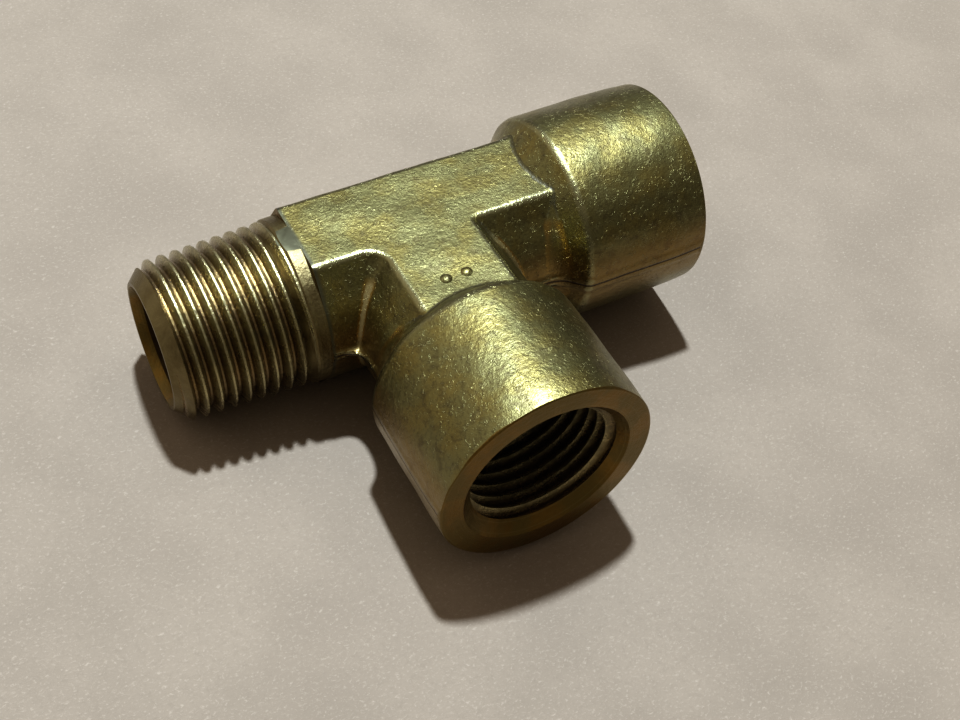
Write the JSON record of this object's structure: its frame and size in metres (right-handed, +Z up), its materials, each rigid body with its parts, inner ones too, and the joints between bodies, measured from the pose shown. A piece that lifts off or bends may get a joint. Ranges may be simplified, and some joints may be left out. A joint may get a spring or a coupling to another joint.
{
  "type": "pipe street tee",
  "caption": "Forged brass street tee pipe fitting: male taper pipe thread and female socket along the run, female socket on the branch.",
  "frame": {"origin": "on the plane the fitting lies on, under the middle of its outline", "axes": "+X along the run from the male thread to the female socket, -Y along the branch towards its mouth, +Z up through the flat crown of the body"},
  "size_m": [0.0738, 0.053, 0.0287],
  "materials": {
    "forged_brass": "tumbled forging skin with turned end faces and cut threads"
  },
  "bodies": {
    "root": {"tee_body": "forged_brass"}
  },
  "joints": []
}
